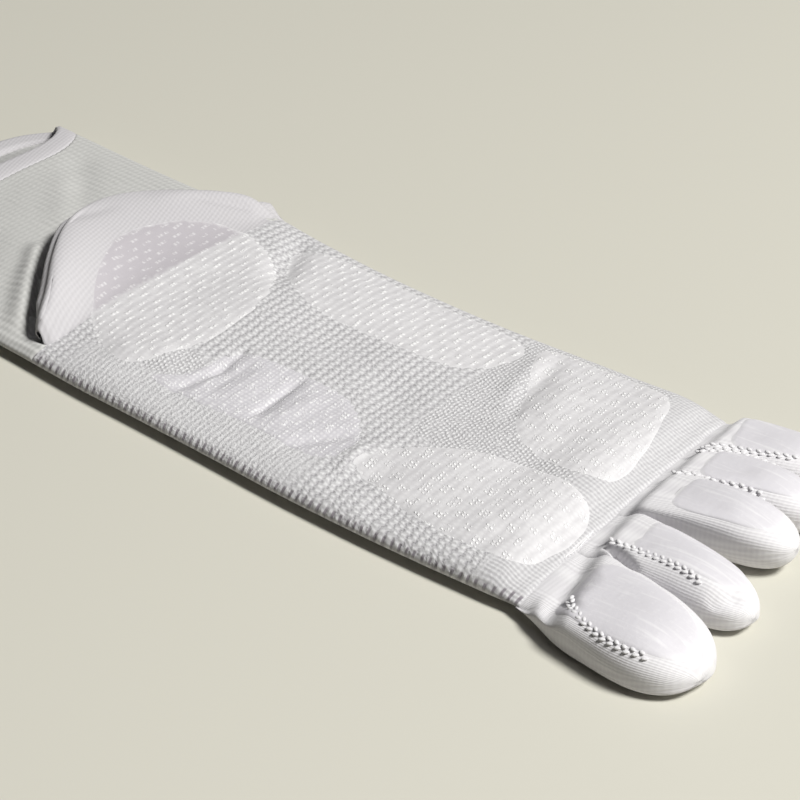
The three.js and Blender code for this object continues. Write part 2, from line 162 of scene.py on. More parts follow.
def creases(table, x, y):
    drop = np.zeros(np.broadcast(x, y).shape)
    for x1, y1, x2, y2, width, depth in table:
        along, side = np.array([x2 - x1, y2 - y1]), np.array([y1 - y2, x2 - x1])
        length2 = along @ along
        share = ((x - x1) * along[0] + (y - y1) * along[1]) / length2
        off = ((x - x1) * side[0] + (y - y1) * side[1]) / math.sqrt(length2)
        fade = smooth_step(share, -0.3, 0.25) * (1 - smooth_step(share, 0.75, 1.3))
        drop = drop + depth * fade * np.exp(-((off / (width / 2)) ** 2))
    return drop


# Where pressed cloth has eased again: long, low swells. x, y, reach along, reach across, height
SWELLS = np.array(
    [
        (-46, 2, 9, 20, -0.5),
        (-24, 4, 12, 12, 0.6),
        (-6, 25, 14, 9, 0.45),
        (14, 5, 10, 9, 0.5),
        (31, 30, 7, 9, -0.5),
        (24, -2, 7, 8, -0.4),
        (45, 4, 8, 12, -0.45),
        (60, 20, 9, 10, 0.45),
        (57, -22, 10, 9, 0.5),
        (74, 26, 8, 8, -0.35),
        (72, -6, 9, 6, -0.45),
        (76, -30, 9, 8, 0.35),
        (30, -41, 12, 5, 0.4),
        (-4, -42, 14, 4, -0.35),
        (-38, -41, 10, 5, 0.35),
        (56, -42, 9, 5, -0.4),
        (-62, -42, 15, 13, -2.0),
    ]
)


def swells(x, y):
    rise = np.zeros(np.broadcast(x, y).shape)
    for cx, cy, along, across, height in SWELLS:
        rise = rise + height * np.exp(-(((x - cx) / along) ** 2) - ((y - cy) / across) ** 2)
    return rise


def top_point(u, v):
    """A point of the upper layer at u along the sock and v across it."""
    middle, half, height = tube_at(u)
    x, y = u - lean_at(u) * v, middle + v * half
    return x, y, crown(v, height) + (swells(x, y) - creases(SOLE_CREASES, x, y)) * (1 - v**8)


def cloth_top(x, y):
    """Height of the upper layer over a point of the table."""
    x, y = np.asarray(x, float), np.asarray(y, float)
    u, v = x, np.zeros_like(x)
    for _ in range(5):
        middle, half, _ = tube_at(u)
        v = np.clip((y - middle) / half, -1, 1)
        u = x + lean_at(u) * v
    return top_point(u, v)[2]


print("creases:", len(SOLE_CREASES))

# %% [markdown]
# ## Shells from rings
# Every knitted part is a grid of points: rings one after another, with the same number of points each. One
# function joins them into faces, turns them outwards and stores at each point what the materials need: the
# place on the cloth in millimetres, which stitch is knitted there and, on some, a mark of its own.

# %% Shell helper
ZONES = ("waffle", "rows", "band")


def shell(name, rings, place, zones=None, looped=False, poles=False, mark=None):
    """rings: array of (ring, point, xyz) in mm. place: cloth coordinates of each point, in mm."""
    rings, place = np.asarray(rings, float), np.asarray(place, float)
    count, across = rings.shape[:2]
    index = np.arange(count * across).reshape(count, across)
    a = index if looped else index[:-1]
    b = np.roll(index, -1, axis=0) if looped else index[1:]
    quads = np.stack([a, np.roll(a, -1, 1), np.roll(b, -1, 1), b], -1).reshape(-1, 4)
    points = rings.reshape(-1, 3)
    faces = quads.tolist()
    extra = []
    if poles:
        for ring, turned in ((0, True), (count - 1, False)):
            extra.append(points[index[ring]].mean(axis=0))
            tip = len(points) + len(extra) - 1
            for p, q in zip(index[ring], np.roll(index[ring], -1)):
                faces.append([tip, q, p] if turned else [tip, p, q])
    everything = np.vstack([points, extra]) if extra else points
    triangles = np.array([(f[0], f[i], f[i + 1]) for f in faces for i in range(1, len(f) - 1)])
    centred = everything - everything.mean(axis=0)
    p, q, r = (centred[triangles[:, i]] for i in range(3))
    if (p * np.cross(q, r)).sum() < 0:
        faces = [face[::-1] for face in faces]
    mesh = bpy.data.meshes.new(name)
    mesh.from_pydata(((everything + SHIFT) * MM).tolist(), [], faces)
    piece = bpy.data.objects.new(name, mesh)
    bpy.context.scene.collection.objects.link(piece)
    none = np.zeros((count, across))
    kept = {"cloth_mm": place}
    kept["zone"] = np.stack([np.broadcast_to((zones or {}).get(zone, none), none.shape) for zone in ZONES], -1)
    if mark is not None:
        kept["mark"] = np.asarray(mark, float)[..., None]
    for key, values in kept.items():
        ends = [values[0].mean(axis=0), values[-1].mean(axis=0)] if poles else []
        filled = np.vstack([values.reshape(-1, values.shape[-1]), *ends])
        kind = "FLOAT" if key == "mark" else "FLOAT_VECTOR"
        stored = mesh.attributes.new(key, kind, "POINT")
        stored.data.foreach_set("value" if key == "mark" else "vector", filled.ravel())
    mesh.polygons.foreach_set("use_smooth", [True] * len(mesh.polygons))
    mesh.update()
    print(name, "faces:", len(mesh.polygons))
    return piece


def across_places(count, share=0.5):
    """Places from -1 to 1 across a layer, closer together at the side folds."""
    even = np.linspace(-1, 1, count)
    return (1 - share) * even + share * np.sin(np.pi / 2 * even)


# %% [markdown]
# ## The foot
# The sole shows four knits: an open waffle mesh, fine plain rows along the inner side, a fine band before the
# toes, and plain knit between the pads. The waffle's rows are real relief in the mesh, and its small beads are
# left to the material. Where the cloth turns over at the near side, stretched stitches show as small windows,
# which the material darkens as painted shade.
# The ends run on a little under the heel and the toes, as knitting has no gap there.

# %% Which knit lies where
WAFFLE_PITCH = 2.45


def knit_zones(x, y):
    skew = x + 0.10 * y
    strip = smooth_step(skew, 35, 38) * smooth_step(y, -16, -12)
    ball = smooth_step(skew, 44, 46) * smooth_step(y, -34, -31)
    band = smooth_step(x + 0.115 * y, 79, 83)
    near_rows = (1 - smooth_step(y, -36, -33)) * smooth_step(x, -50, -42) * (1 - smooth_step(x, 20, 34))
    bulge = smooth_step(np.exp(-(((x + 28) / 14) ** 2) - (((y + 28) / 8) ** 2)), 0.3, 0.6)
    rows = near_rows * (1 - band)
    waffle = np.clip(1 - rows - strip - ball - band - bulge, 0, 1)
    return {"waffle": waffle, "rows": rows, "band": band}


# %% Foot tube
FOOT_RINGS = 340
TOP_POINTS = 150
BOTTOM_POINTS = 40
WAFFLE_RELIEF = 0.1
RUNG_PITCH = 2.2  # of the stitches that show along the near side fold
RUNG_RELIEF = 0.07
OVERLAP = 1.2  # the foot's cloth runs on this far under the toes' roots

u = np.linspace(HEEL_LINE, TOE_LINE + OVERLAP, FOOT_RINGS)[:, None]
v_top, v_bottom = across_places(TOP_POINTS), across_places(BOTTOM_POINTS)[::-1][1:-1]
x_top, y_top, z_top = top_point(u, v_top[None, :])
foot_zones = knit_zones(x_top, y_top)
row_ridge = 0.5 + 0.5 * np.cos(2 * np.pi * (x_top + 0.06 * y_top) / WAFFLE_PITCH)
z_top = z_top + WAFFLE_RELIEF * foot_zones["waffle"] * (row_ridge - 0.5) * (1 - v_top**6)
middle, half, _ = tube_at(u)
x_low, y_low = u - lean_at(u) * v_bottom, middle + v_bottom * half
z_low = np.broadcast_to(underside(v_bottom), x_low.shape)
x, y, z = (np.concatenate(pair, axis=1) for pair in ((x_top, x_low), (y_top, y_low), (z_top, z_low)))
across = np.concatenate([v_top, v_bottom])[None, :]
fold = smooth_step(-across, 0.945, 0.955) * smooth_step(z, 3.1, 3.4) * (1 - smooth_step(z, 4.6, 5.0))
y = y - RUNG_RELIEF * fold * np.cos(2 * np.pi * x / RUNG_PITCH)
tuck = 0.7 * smooth_step(u, TOE_LINE - 0.6, TOE_LINE + OVERLAP)
tuck = tuck + 0.05 * (1 - smooth_step(u, HEEL_LINE, HEEL_LINE + 0.5))
z = z - tuck * (z > 3)  # the cut ends turn in under what follows
foot_rings = np.stack([x, y, z], -1)
below = {"waffle": 0.0, "rows": 1.0, "band": 0.0}
zones = {zone: np.concatenate([share, np.full_like(x_low, below[zone])], axis=1)
         for zone, share in foot_zones.items()}
foot = shell("foot_tube", foot_rings, foot_rings, zones, mark=np.broadcast_to(fold, x.shape))

# %% [markdown]
# ## The leg and its welt
# The leg is knitted in lengthwise ribs, which are raised in the mesh. Its end is a welt: the edge turned under
# and stitched, so it is thicker. The heel pocket is folded over the leg, and that draws the sole-side layer of
# the cuff back from the layer on the table, so the opening shows the inside of the other layer.

# %% Leg and welt
CUFF_TOP, CUFF_BOTTOM, WELT_LENGTH, WELT_SEAM = -130.0, -150.0, 7.0, 0.15
UNDERLAP = 1.0  # the leg's cloth runs on this far under the foot's
RIBS, RIB_DEPTH, POINTS_PER_RIB = 40, 0.2, 6
LEG_CREASES = np.array(
    [  # x1, y1, x2, y2, width, depth
        (-118, 30, -100, 12, 9.0, 0.7),
        (-112, 20, -96, 2, 8.0, -0.5),
        (-128, -30, -108, -34, 12.0, 0.6),
        (-106, -14, -94, -30, 10.0, 0.6),
        (-124, 8, -112, -10, 14.0, 0.4),
        (-65, -37, -78, -20.5, 3.2, 5.4),
        (-78, -20.5, -86.2, -10, 3.0, 5.0),
        (-87.5, -7, -91.0, 4, 3.4, 1.2),
        (-68.5, -39.8, -81.5, -23.3, 6.0, -1.8),
        (-81.7, -23.0, -89.9, -12.5, 5.0, -1.5),
    ]
)
HEEL_ROWS = np.array(
    [  # y, front, back, hollow, lift, lip
        (-41, -56.6, -60.6, 0.3, 0.8, 1.9),
        (-38, -55.8, -62.6, 1.2, 2.0, 3.0),
        (-31, -55.6, -67.2, 2.0, 3.0, 6.0),
        (-21, -55.6, -75.4, 2.2, 3.2, 9.0),
        (-10, -55.6, -83.4, 1.9, 2.8, 13.0),
        (1, -55.6, -88.8, 1.3, 1.9, 16.0),
        (12, -55.6, -89.4, 1.1, 1.5, 16.5),
        (21, -55.6, -85.6, 1.0, 1.3, 13.0),
        (30, -55.6, -78.6, 0.8, 1.1, 9.0),
        (38, -55.6, -71.0, 0.7, 1.0, 5.0),
        (43, -55.6, -66.8, 0.5, 0.7, 3.4),
        (45.4, -56.6, -66.0, 0.3, 0.4, 2.4),
        (47.0, -59.6, -65.4, 0.1, 0.2, 2.0),
    ]
)


def cuff_edge(v, top):
    share = 1 - v**6
    middle, reach = (CUFF_TOP + CUFF_BOTTOM) / 2, (CUFF_TOP - CUFF_BOTTOM) / 2
    return middle + np.where(top, reach, -reach) * share


def leg_end(v, top):
    middle, half, _ = tube_at(HEEL_LINE)
    y = middle + v * half
    tucked = curve_through(HEEL_ROWS, 2, y) + curve_through(HEEL_ROWS, 5, y) + 2.0
    covered = smooth_step(y, -44, -42.4) * (1 - smooth_step(y, 38, 41))
    seen_end = HEEL_LINE + UNDERLAP
    top_end = seen_end + covered * (np.minimum(tucked, HEEL_LINE) - seen_end)
    return np.where(top, top_end, HEEL_LINE)


def welt_end(v, top):
    return cuff_edge(v, top) + WELT_LENGTH


def leg_start(v, top):
    return welt_end(v, top) + WELT_SEAM


def tube_rings(start, end, shares, points, inset=0.0, rib=0.0):
    v = np.linspace(-1, 1, points)
    v = np.concatenate([v, v[::-1][1:-1]])
    top = np.arange(len(v)) < points
    u = start(v, top) + np.asarray(shares)[:, None] * (end(v, top) - start(v, top))
    middle, half, height = tube_at(u)
    inner_v = v * (1 - inset / half)
    x, y = u, middle + inner_v * half
    ribs = rib * (0.5 - 0.5 * np.cos(2 * np.pi * np.arange(len(v)) / POINTS_PER_RIB))
    dents = (creases(LEG_CREASES, x, y) - swells(x, y)) * (1 - v**8)
    z_top = crown(inner_v, height) - dents - inset - ribs
    z_low = np.maximum(underside(inner_v), 0) + inset + ribs
    z_top = z_top - 0.5 * smooth_step(u, HEEL_LINE - 0.8, HEEL_LINE)
    z = np.where(top, np.maximum(z_top, z_low + 0.3 * (inset > 0)), z_low)
    return np.stack([x, y, z], -1), np.stack([x, y, np.broadcast_to(v, x.shape)], -1)


leg_points = RIBS * POINTS_PER_RIB + 1
outer, outer_place = tube_rings(leg_start, leg_end, np.linspace(0, 1, 110), leg_points, rib=RIB_DEPTH)
inner, inner_place = tube_rings(leg_start, leg_end, np.linspace(1, 0, 12), leg_points, inset=1.2)
leg = shell("leg_tube", np.concatenate([outer, inner]), np.concatenate([outer_place, inner_place]), looped=True)

outer, outer_place = tube_rings(cuff_edge, welt_end, [0.08, 0.2, 0.5, 0.9, 1.0], leg_points)
outer[-1, :, 2] -= 0.25 * np.where(np.arange(outer.shape[1]) < leg_points, 1, -1)
inner, inner_place = tube_rings(cuff_edge, welt_end, [1.0, 0.6, 0.2, 0.08], leg_points, inset=1.7)
lip, lip_place = tube_rings(cuff_edge, welt_end, [0.0], leg_points, inset=0.85)
welt = shell(
    "welt_band",
    np.concatenate([outer, inner, lip]),
    np.concatenate([outer_place, inner_place, lip_place]),
    looped=True,
)

# %% [markdown]
# ## The heel pocket
# The pocket is knitted plain and wider than the leg, so on a flat sock it folds back: its cloth goes over the
# top, turns round and runs back under itself. Each slice across the sock is that path, given thickness on
# both sides. Along the near edge a little of the under layer shows past the fold, with a dark slit between.

# %% Heel pocket
HEEL_SLICES = 190
EAR_DROOP = 3.0
HEEL_CREASES = np.array(
    [  # x1, y1, x2, y2, width, depth
        (-74, 29, -62, 39, 4.0, 0.9),
        (-80, 22, -70, 34, 6.0, -0.5),
        (-62, -38, -70, -30, 5.0, 0.8),
        (-66, -39, -74, -28, 4.0, -0.4),
        (-84, 8, -86, -8, 4.0, 0.35),
        (-60, 38, -57, 43, 5.0, 0.6),
    ]
)


def heel_slice(y):
    front, back, hollow, lift, lip = (curve_through(HEEL_ROWS, i, y) for i in range(1, 6))
    radius = WALL + hollow / 2
    rest = lambda x: np.maximum(cloth_top(x, y), EAR_DROOP)
    fold_bottom = rest(back) + lift
    front_top = np.maximum(cloth_top(HEEL_LINE, y), EAR_DROOP)
    return front, back, radius, lip, rest, fold_bottom, front_top


def heel_top(x, y):
    front, back, radius, _, _, fold_bottom, front_top = heel_slice(y)
    share = smooth_step(front - x, 0, front - back - radius)
    return front_top + share * (fold_bottom + 2 * radius - front_top) - creases(HEEL_CREASES, x, y)


def heel_path(y):
    front, back, radius, lip, rest, fold_bottom, _ = heel_slice(y)
    fold_x = back + radius
    top_x = np.linspace(front, fold_x, 60)
    path = [np.stack([top_x, heel_top(top_x, y) - WALL / 2], -1)]
    bend = radius - WALL / 2
    turn = np.radians(np.linspace(96, 264, 34))
    under = smooth_step(y, -39, -34) * (1 - smooth_step(y, -6, 1))
    peek = np.exp(-(((y - 15) / 4) ** 2))
    notch = np.exp(-(((y + 9.5) / 5.5) ** 2))
    degrees = np.degrees(turn)
    reach = (1.7 * under + 1.6 * peek) * np.exp(-(((degrees - 190) / 20) ** 2))
    dip = (0.5 * under + 2.6 * notch + 0.6 * peek) * np.exp(-(((degrees - 148) / 11) ** 2))
    out = bend + reach - np.minimum(dip, 0.9 * bend)
    path.append(np.stack([fold_x + out * np.cos(turn), fold_bottom + radius + bend * np.sin(turn)], -1))
    end = back + lip
    end_z = float(rest(end)) + 0.35
    low = np.linspace(0, 1, 10)[1:]
    start_z = fold_bottom + WALL / 2
    ease = low * low * (3 - 2 * low)
    path.append(np.stack([fold_x + low * (end - fold_x), start_z + ease * (end_z + WALL / 2 - start_z)], -1))
    return np.concatenate(path)


slices = []
ys = np.linspace(HEEL_ROWS[0, 0], HEEL_ROWS[-1, 0], HEEL_SLICES)
for y in ys:
    path = heel_path(y)
    tangent = np.gradient(path, axis=0)
    tangent /= np.linalg.norm(tangent, axis=1, keepdims=True) + 1e-9
    normal = np.stack([tangent[:, 1], -tangent[:, 0]], -1) * WALL / 2
    thin = min(1.0, 0.35 + (y - ys[0]) / 3, 0.35 + (ys[-1] - y) / 3)
    ring = np.concatenate([path + normal * thin, (path - normal * thin)[::-1]])
    slices.append(np.stack([ring[:, 0], np.full(len(ring), y), ring[:, 1]], -1))
slices = np.array(slices)
heel = shell("heel_pocket", slices, slices, poles=True)

# %% [markdown]
# ## The toes
# Each toe is a small tube that swells from the foot's edge to its full size and rounds off at the tip. Its
# section is flat below and rounder above. A pressed toe still stands higher than the foot, so each one rises
# from a shallow valley before it. One table gives the roots, tips and sizes, and one the valley's place.

# %% Toe tubes
TOES = {  # root y, root width, tip x, tip y, width, root height, height
    "big": (-34.0, 24.2, 145.5, -41.6, 26.2, 5.2, 12.0),
    "second": (-13.9, 18.4, 141.0, -16.2, 17.0, 5.3, 11.6),
    "third": (2.6, 18.2, 134.6, 8.4, 16.2, 5.3, 13.2),
    "fourth": (18.3, 17.0, 129.6, 25.4, 15.2, 5.2, 11.4),
    "little": (34.2, 17.6, 122.4, 43.0, 17.0, 5.0, 9.4),
}
TOE_SWELL, TOE_RISE, TOE_ROUNDING = 0.42, 0.22, 0.42  # shares of a toe's length
TOE_SAG, TOE_SQUARE = 0.2, 2.7
TOE_BELT = {"big": 0.36, "second": 0.4, "third": 0.62, "fourth": 0.45, "little": 0.4}  # share of the height
TOE_UNDER = {"big": 0.5, "second": 0.5, "third": 1.0, "fourth": 0.5, "little": 0.5}  # 1 is rounder below
ROOT_SQUARE = 3.5  # the root is squarer, as it grows out of the flat foot
RISE_RUN = 7.0  # a toe rises from the valley before it over this length
VALLEY = np.array(
    [  # y, x of the valley's foot
        (-50, 108.4),
        (-40.2, 105.6),
        (-34.5, 103.8),
        (-24.9, 100.0),
        (-15, 96.4),
        (-5.6, 93.6),
        (4.3, 91.8),
        (13.5, 90.6),
        (24.6, 89.4),
        (46, 87.6),
    ]
)
TOE_RINGS, TOE_POINTS, TOE_WALL = 90, 110, 1.2
FOOT_END_HEIGHT = float(SECTIONS[-1, 3]) - 0.1
ROOT_SINK = 0.4  # a root starts this far below the foot's cloth and comes up through it
TOE_PRESS = {"big": 0.2, "second": 0.3, "third": 0.5, "fourth": 0.4, "little": 0.4}  # neighbours press wide
TOE_CREASES = np.array(
    [  # x1, y1, x2, y2, width, depth
        (103.5, -31, 105.5, -39, 3.0, 0.5),
        (107.0, -40, 113.5, -44.6, 2.4, 0.8),
        (96.8, -40, 101.0, -47.5, 3.6, 0.9),
        (101.5, -41, 104.5, -47.5, 3.6, -0.6),
        (137, -42.5, 144, -39, 2.2, 0.5),
        (133.5, -23.0, 137.5, -17.5, 3.6, 1.0),
        (104.0, -20.4, 112.8, -23.6, 1.7, 6.0),
        (112, -24, 124, -25.5, 4.0, 0.4),
        (104, -20, 112, -16, 3.0, 0.4),
        (118, -18, 134, -20, 5.0, -0.4),
        (100, 3.6, 107, 5.4, 4.0, 0.4),
        (110, 8.5, 128, 11, 5.0, -0.35),
        (106, 1.5, 118, 3, 4.0, 0.3),
        (101, 19, 112, 21.5, 4.0, 0.35),
        (98, 30, 108, 33, 4.0, 0.4),
        (104, 38, 116, 41, 5.0, -0.3),
    ]
)


def toe_point(toe, s, angle, out=0.0):
    """s runs from 0 at the root to 1 at the tip; angle is 0 on the little toe's side and 90 on top."""
    root_y, root_width, tip_x, tip_y, width, root_height, full_height = TOES[toe]
    middle, half, _ = tube_at(TOE_LINE)
    slope = TOE_LINE_SLANT / half
    root = np.array([TOE_LINE - slope * (root_y - middle), root_y])
    forward = np.array([tip_x, tip_y]) - root
    length = np.linalg.norm(forward)
    forward = forward / length
    swell = smooth_step(s, 0, TOE_SWELL)
    side_x = -slope + swell * (-forward[1] + slope)
    side_y = 1 + swell * (forward[0] - 1)
    beyond = np.clip((s - 1 + TOE_ROUNDING) / TOE_ROUNDING, 0, 1)
    closing = np.maximum(1 - beyond**2.5, 0) ** 0.45
    belt = TOE_BELT[toe] * (root_height + smooth_step(s, 0, TOE_RISE) * (full_height - root_height))
    turn = np.radians(angle)
    power = 2 / (TOE_SQUARE + ROOT_SQUARE * (1 - smooth_step(s, 0, 0.75)))
    c, d = np.cos(turn), np.sin(turn)
    press = TOE_PRESS[toe] * np.sin(np.pi * np.clip(s / 0.62, 0, 1))
    side = (root_width + swell * (width - root_width)) / 2 * closing + press + out
    across = side * np.sign(c) * np.abs(c) ** power
    sag = TOE_SAG * belt * beyond**2
    ahead = s * length + max(out, 0) * beyond
    x = root[0] + forward[0] * ahead + side_x * across
    y = root[1] + forward[1] * ahead + side_y * across
    past = x - curve_through(VALLEY, 1, y)
    risen = 0.62 * smooth_step(past, 0, RISE_RUN) + 0.38 * smooth_step(past, 0, 4.5 * RISE_RUN)
    top = root_height + risen * (full_height - root_height)
    above, below = (top - belt) * closing + out, -belt * closing - out
    z = belt - sag + np.where(d < 0, below, above) * np.abs(d) ** np.where(d < 0, power * TOE_UNDER[toe], power)
    z = z - creases(TOE_CREASES, x, y) * smooth_step(d, 0.1, 0.6)
    place = np.clip((y - middle) / half, -1, 1)
    grown = smooth_step(s, 0, 0.18)
    z = np.where(d > 0, z + (1 - grown) * (np.minimum(z, crown(place, FOOT_END_HEIGHT)) - z), z)
    z = z - ROOT_SINK * (1 - smooth_step(s * length, -0.4, 1.8)) * np.maximum(d, 0)
    z = np.where(d < 0, z + (1 - smooth_step(s, 0, 0.5)) * (np.maximum(z, underside(place)) - z), z)
    return np.stack(np.broadcast_arrays(x, y, z), -1)


TOE_FILM_ARC = {  # from, to, middle angle, half the arc
    "big": (0.2, 0.95, 92, 42),
    "second": (0.26, 0.92, 72, 40),
    "third": (0.28, 0.9, 86, 48),
    "fourth": (0.24, 0.9, 88, 42),
    "little": (0.2, 0.9, 72, 44),
}


def toe_place(toe, s, angle, points):
    """Cloth coordinates on a toe: distance out from its pad, so that courses run round the tip, then x."""
    start, stop, middle, half_arc = TOE_FILM_ARC[toe]
    along = (s - (start + stop) / 2) / ((stop - start) / 2)
    round_it = ((angle - middle + 180) % 360 - 180) / half_arc
    out = np.hypot(np.maximum(along, 0), round_it) * TOES[toe][4] * 0.42
    return np.stack(np.broadcast_arrays(out, points[..., 0], points[..., 2]), -1)


toes = {}
angle = np.linspace(0, 360, TOE_POINTS, endpoint=False)[None, :] - 90
outer_s = np.sin(np.pi / 2 * np.linspace(0.985, -0.008, TOE_RINGS))[:, None]
inner_s = np.sin(np.pi / 2 * np.linspace(-0.008, 0.93, 16))[:, None]
for toe in TOES:
    outside, inside = toe_point(toe, outer_s, angle), toe_point(toe, inner_s, angle, -TOE_WALL)
    rings = np.concatenate([outside, inside])
    place = np.concatenate([toe_place(toe, outer_s, angle, outside), toe_place(toe, inner_s, angle, inside)])
    toes[toe] = shell(f"toe_tube_{toe}", rings, place, poles=True)

# %% [markdown]
# ## The link stitches
# A toe is closed by linking: loops of both edges are caught together by hand on a ring of points. That leaves
# a raised row of small scallops beside each pad. One loop is modelled and copied along a line of points.

# %% Link stitches
LINK_ROWS = {
    "big": [(108.8, -40.5), (112.5, -44.4), (118, -47.4), (124.5, -49.2), (131, -49.6), (137, -48.4)],
    "second": [(102.5, -19.0), (108, -19.0), (113.2, -19.2), (118, -19.4), (124, -19.8), (130, -20.6)],
    "third": [(97.7, 10.3), (102, 12.3), (107.5, 14.4), (113.1, 16.0), (119.3, 16.8)],
    "fourth": [(95.4, 22.6), (99.2, 25.5), (104.8, 27.9), (109.4, 29.6), (114, 31)],
    "little": [(93.3, 27.4), (98.1, 30.2), (104.2, 32.2), (110.2, 34.2), (115, 36)],
}
LINK_PITCH = {"big": 1.1, "second": 1.05, "third": 1.15, "fourth": 1.05, "little": 1.1}
LOOP = (1.7, 1.0, 0.6)  # long, wide and high, in mm

bpy.ops.mesh.primitive_uv_sphere_add(segments=10, ring_count=6, radius=0.5)
loop = bpy.context.object
bpy.ops.object.mode_set(mode="EDIT")
bpy.ops.mesh.select_all(action="SELECT")
bpy.ops.transform.resize(value=LOOP)
bpy.ops.object.mode_set(mode="OBJECT")
loop_points = np.array([v.co for v in loop.data.vertices])
loop_faces = [list(face.vertices) for face in loop.data.polygons]
bpy.data.objects.remove(loop)


around, along = np.linspace(5, 175, 120)[None, :], np.linspace(0.01, 0.98, 120)[:, None]
toe_tops = np.concatenate([toe_point(toe, along, around).reshape(-1, 3) for toe in TOES])


def toe_height(x, y):
    """Height of the highest toe over a point of the table."""
    far = np.hypot(toe_tops[:, 0] - x, toe_tops[:, 1] - y)
    return toe_tops[far < max(0.6, far.min() + 0.05), 2].max()


links = {}
for toe, corners in LINK_ROWS.items():
    corners = np.array(corners, float)
    run = np.concatenate([[0], np.cumsum(np.linalg.norm(np.diff(corners, axis=0), axis=1))])
    stops = np.arange(0.4, run[-1], LINK_PITCH[toe])
    x, y = (np.interp(stops, run, corners[:, i]) for i in range(2))
    heading = np.arctan2(np.gradient(y), np.gradient(x))
    points, faces = [], []
    for i in range(len(stops)):
        lean = heading[i] + math.radians(30 if i % 2 else -30)
        side = 0.45 * (-1) ** i
        px, py = x[i] - side * math.sin(heading[i]), y[i] + side * math.cos(heading[i])
        c, s = math.cos(lean), math.sin(lean)
        turned = loop_points @ np.array([[c, s, 0], [-s, c, 0], [0, 0, 1]])
        faces += [[v + len(points) * len(loop_points) for v in face] for face in loop_faces]
        points.append(turned + (px, py, toe_height(px, py) - 0.04))
    mesh = bpy.data.meshes.new(f"link_row_{toe}")
    row = np.concatenate(points)
    mesh.from_pydata(((row + SHIFT) * MM).tolist(), [], faces)
    mesh.attributes.new("cloth_mm", "FLOAT_VECTOR", "POINT").data.foreach_set("vector", row.ravel())
    mesh.polygons.foreach_set("use_smooth", [True] * len(mesh.polygons))
    links[toe] = bpy.data.objects.new(f"link_row_{toe}", mesh)
    bpy.context.scene.collection.objects.link(links[toe])
print("link stitches:", {toe: len(row.data.polygons) // len(loop_faces) for toe, row in links.items()})

# %% [markdown]
# ## The grip films
# Under the heel, the arch, the ball and each toe the maker bonds a soft, clear film, so that the sole does not
# slip. Each is a plate over the cloth: a smooth outline, and rings of points between its middle and that
# outline, set on the cloth's height. The film soaks into the yarn, so its rim sinks below the stitches.

# %% Films on the sole
SOLE_FILMS = {
    "heel": [(-55, -27), (-70, -8), (-73.5, 9), (-63, 27), (-45, 26), (-29, 10), (-25, -16), (-34, -36)],
    "arch_outer": [(-40, 31), (-32, 20), (-16, 12.5), (6, 12.5), (28, 15), (35.5, 24), (32, 36), (0, 36.5),
                   (-30, 36.5)],
    "arch_inner": [(-25, -36.2), (-19.5, -29.5), (-18, -22), (-14.5, -14.5), (0, -12), (17, -12.8), (27, -18),
                   (33, -27), (29.5, -35.4), (8, -35.6), (-10, -36.8)],
    "ball_outer": [(38, 37), (48, 18), (58, 2), (73, -3.5), (87, -1), (87.5, 10), (83, 24), (75, 38.5),
                   (56, 39.5)],
    "ball_inner": [(37, -31), (44, -18.5), (60, -9.5), (80, -7.5), (92, -12), (95, -25), (91, -37.5), (70, -39.5),
                   (50, -36)],
}
FILM_ROUND, FILM_RINGS = 120, 26
FILM_THICK, FILM_SINK = 0.18, 0.1  # its rim sinks into the stitches
FILM_SPREAD = 1.05  # the sunken part of the rim lies outside the outline that shows
HATCHED = {"ball_outer": 1, "ball_inner": 1, "arch_inner": 0.5}  # 1: short hatches, 0.5: specks, else dashes


def closed_curve(corners, count):
    """Points evenly along a smooth closed curve through the corners."""
    p = np.array(corners, float)
    t = np.linspace(0, 1, 40, endpoint=False)[:, None]
    parts = []
    for i in range(len(p)):
        a, b, c, d = p[i - 1], p[i], p[(i + 1) % len(p)], p[(i + 2) % len(p)]
        square, cube = 2 * a - 5 * b + 4 * c - d, 3 * b - a - 3 * c + d
        parts.append(0.5 * (2 * b + (c - a) * t + square * t**2 + cube * t**3))
    line = np.concatenate(parts)
    closed = np.vstack([line, line[:1]])
    run = np.concatenate([[0], np.cumsum(np.linalg.norm(np.diff(closed, axis=0), axis=1))])
    want = np.linspace(0, run[-1], count, endpoint=False)
    return np.stack([np.interp(want, run, closed[:, i]) for i in range(2)], -1)


def sole_height(x, y):
    """Height of whatever cloth is on top: the heel pocket or the foot."""
    x, y = np.asarray(x, float), np.asarray(y, float)
    z = cloth_top(x, y)
    for i in np.ndindex(x.shape):
        if x[i] < HEEL_LINE:
            z[i] = heel_top(x[i], y[i])
    return z


